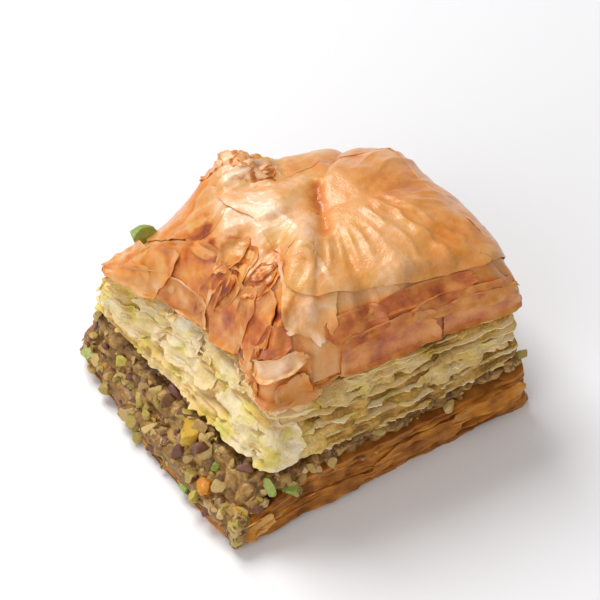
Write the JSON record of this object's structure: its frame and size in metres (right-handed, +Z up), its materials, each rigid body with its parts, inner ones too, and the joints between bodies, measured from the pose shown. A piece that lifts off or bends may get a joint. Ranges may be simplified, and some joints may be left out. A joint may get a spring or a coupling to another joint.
{
  "type": "baklava piece",
  "caption": "Square-cut pistachio baklava piece with a soaked layered base, chopped-nut filling and puffed, browned filo top.",
  "frame": {"origin": "middle of the base, on the surface the piece rests on", "axes": "+Z up; +X along the longer cut side, towards the right cut seen from the front; -Y is the front cut side; the nuts show widest on the -X cut side"},
  "size_m": [0.049, 0.0426, 0.034],
  "materials": {
    "bottom_pastry": "brown filo sheets soaked in syrup",
    "pistachio_filling": "chopped pistachio kernels, moist",
    "top_pastry": "pale filo layers under a golden brown, buttery crust"
  },
  "bodies": {
    "root": {"bottom_pastry": "bottom_pastry", "pistachio_filling": "pistachio_filling", "top_pastry": "top_pastry"}
  },
  "joints": []
}
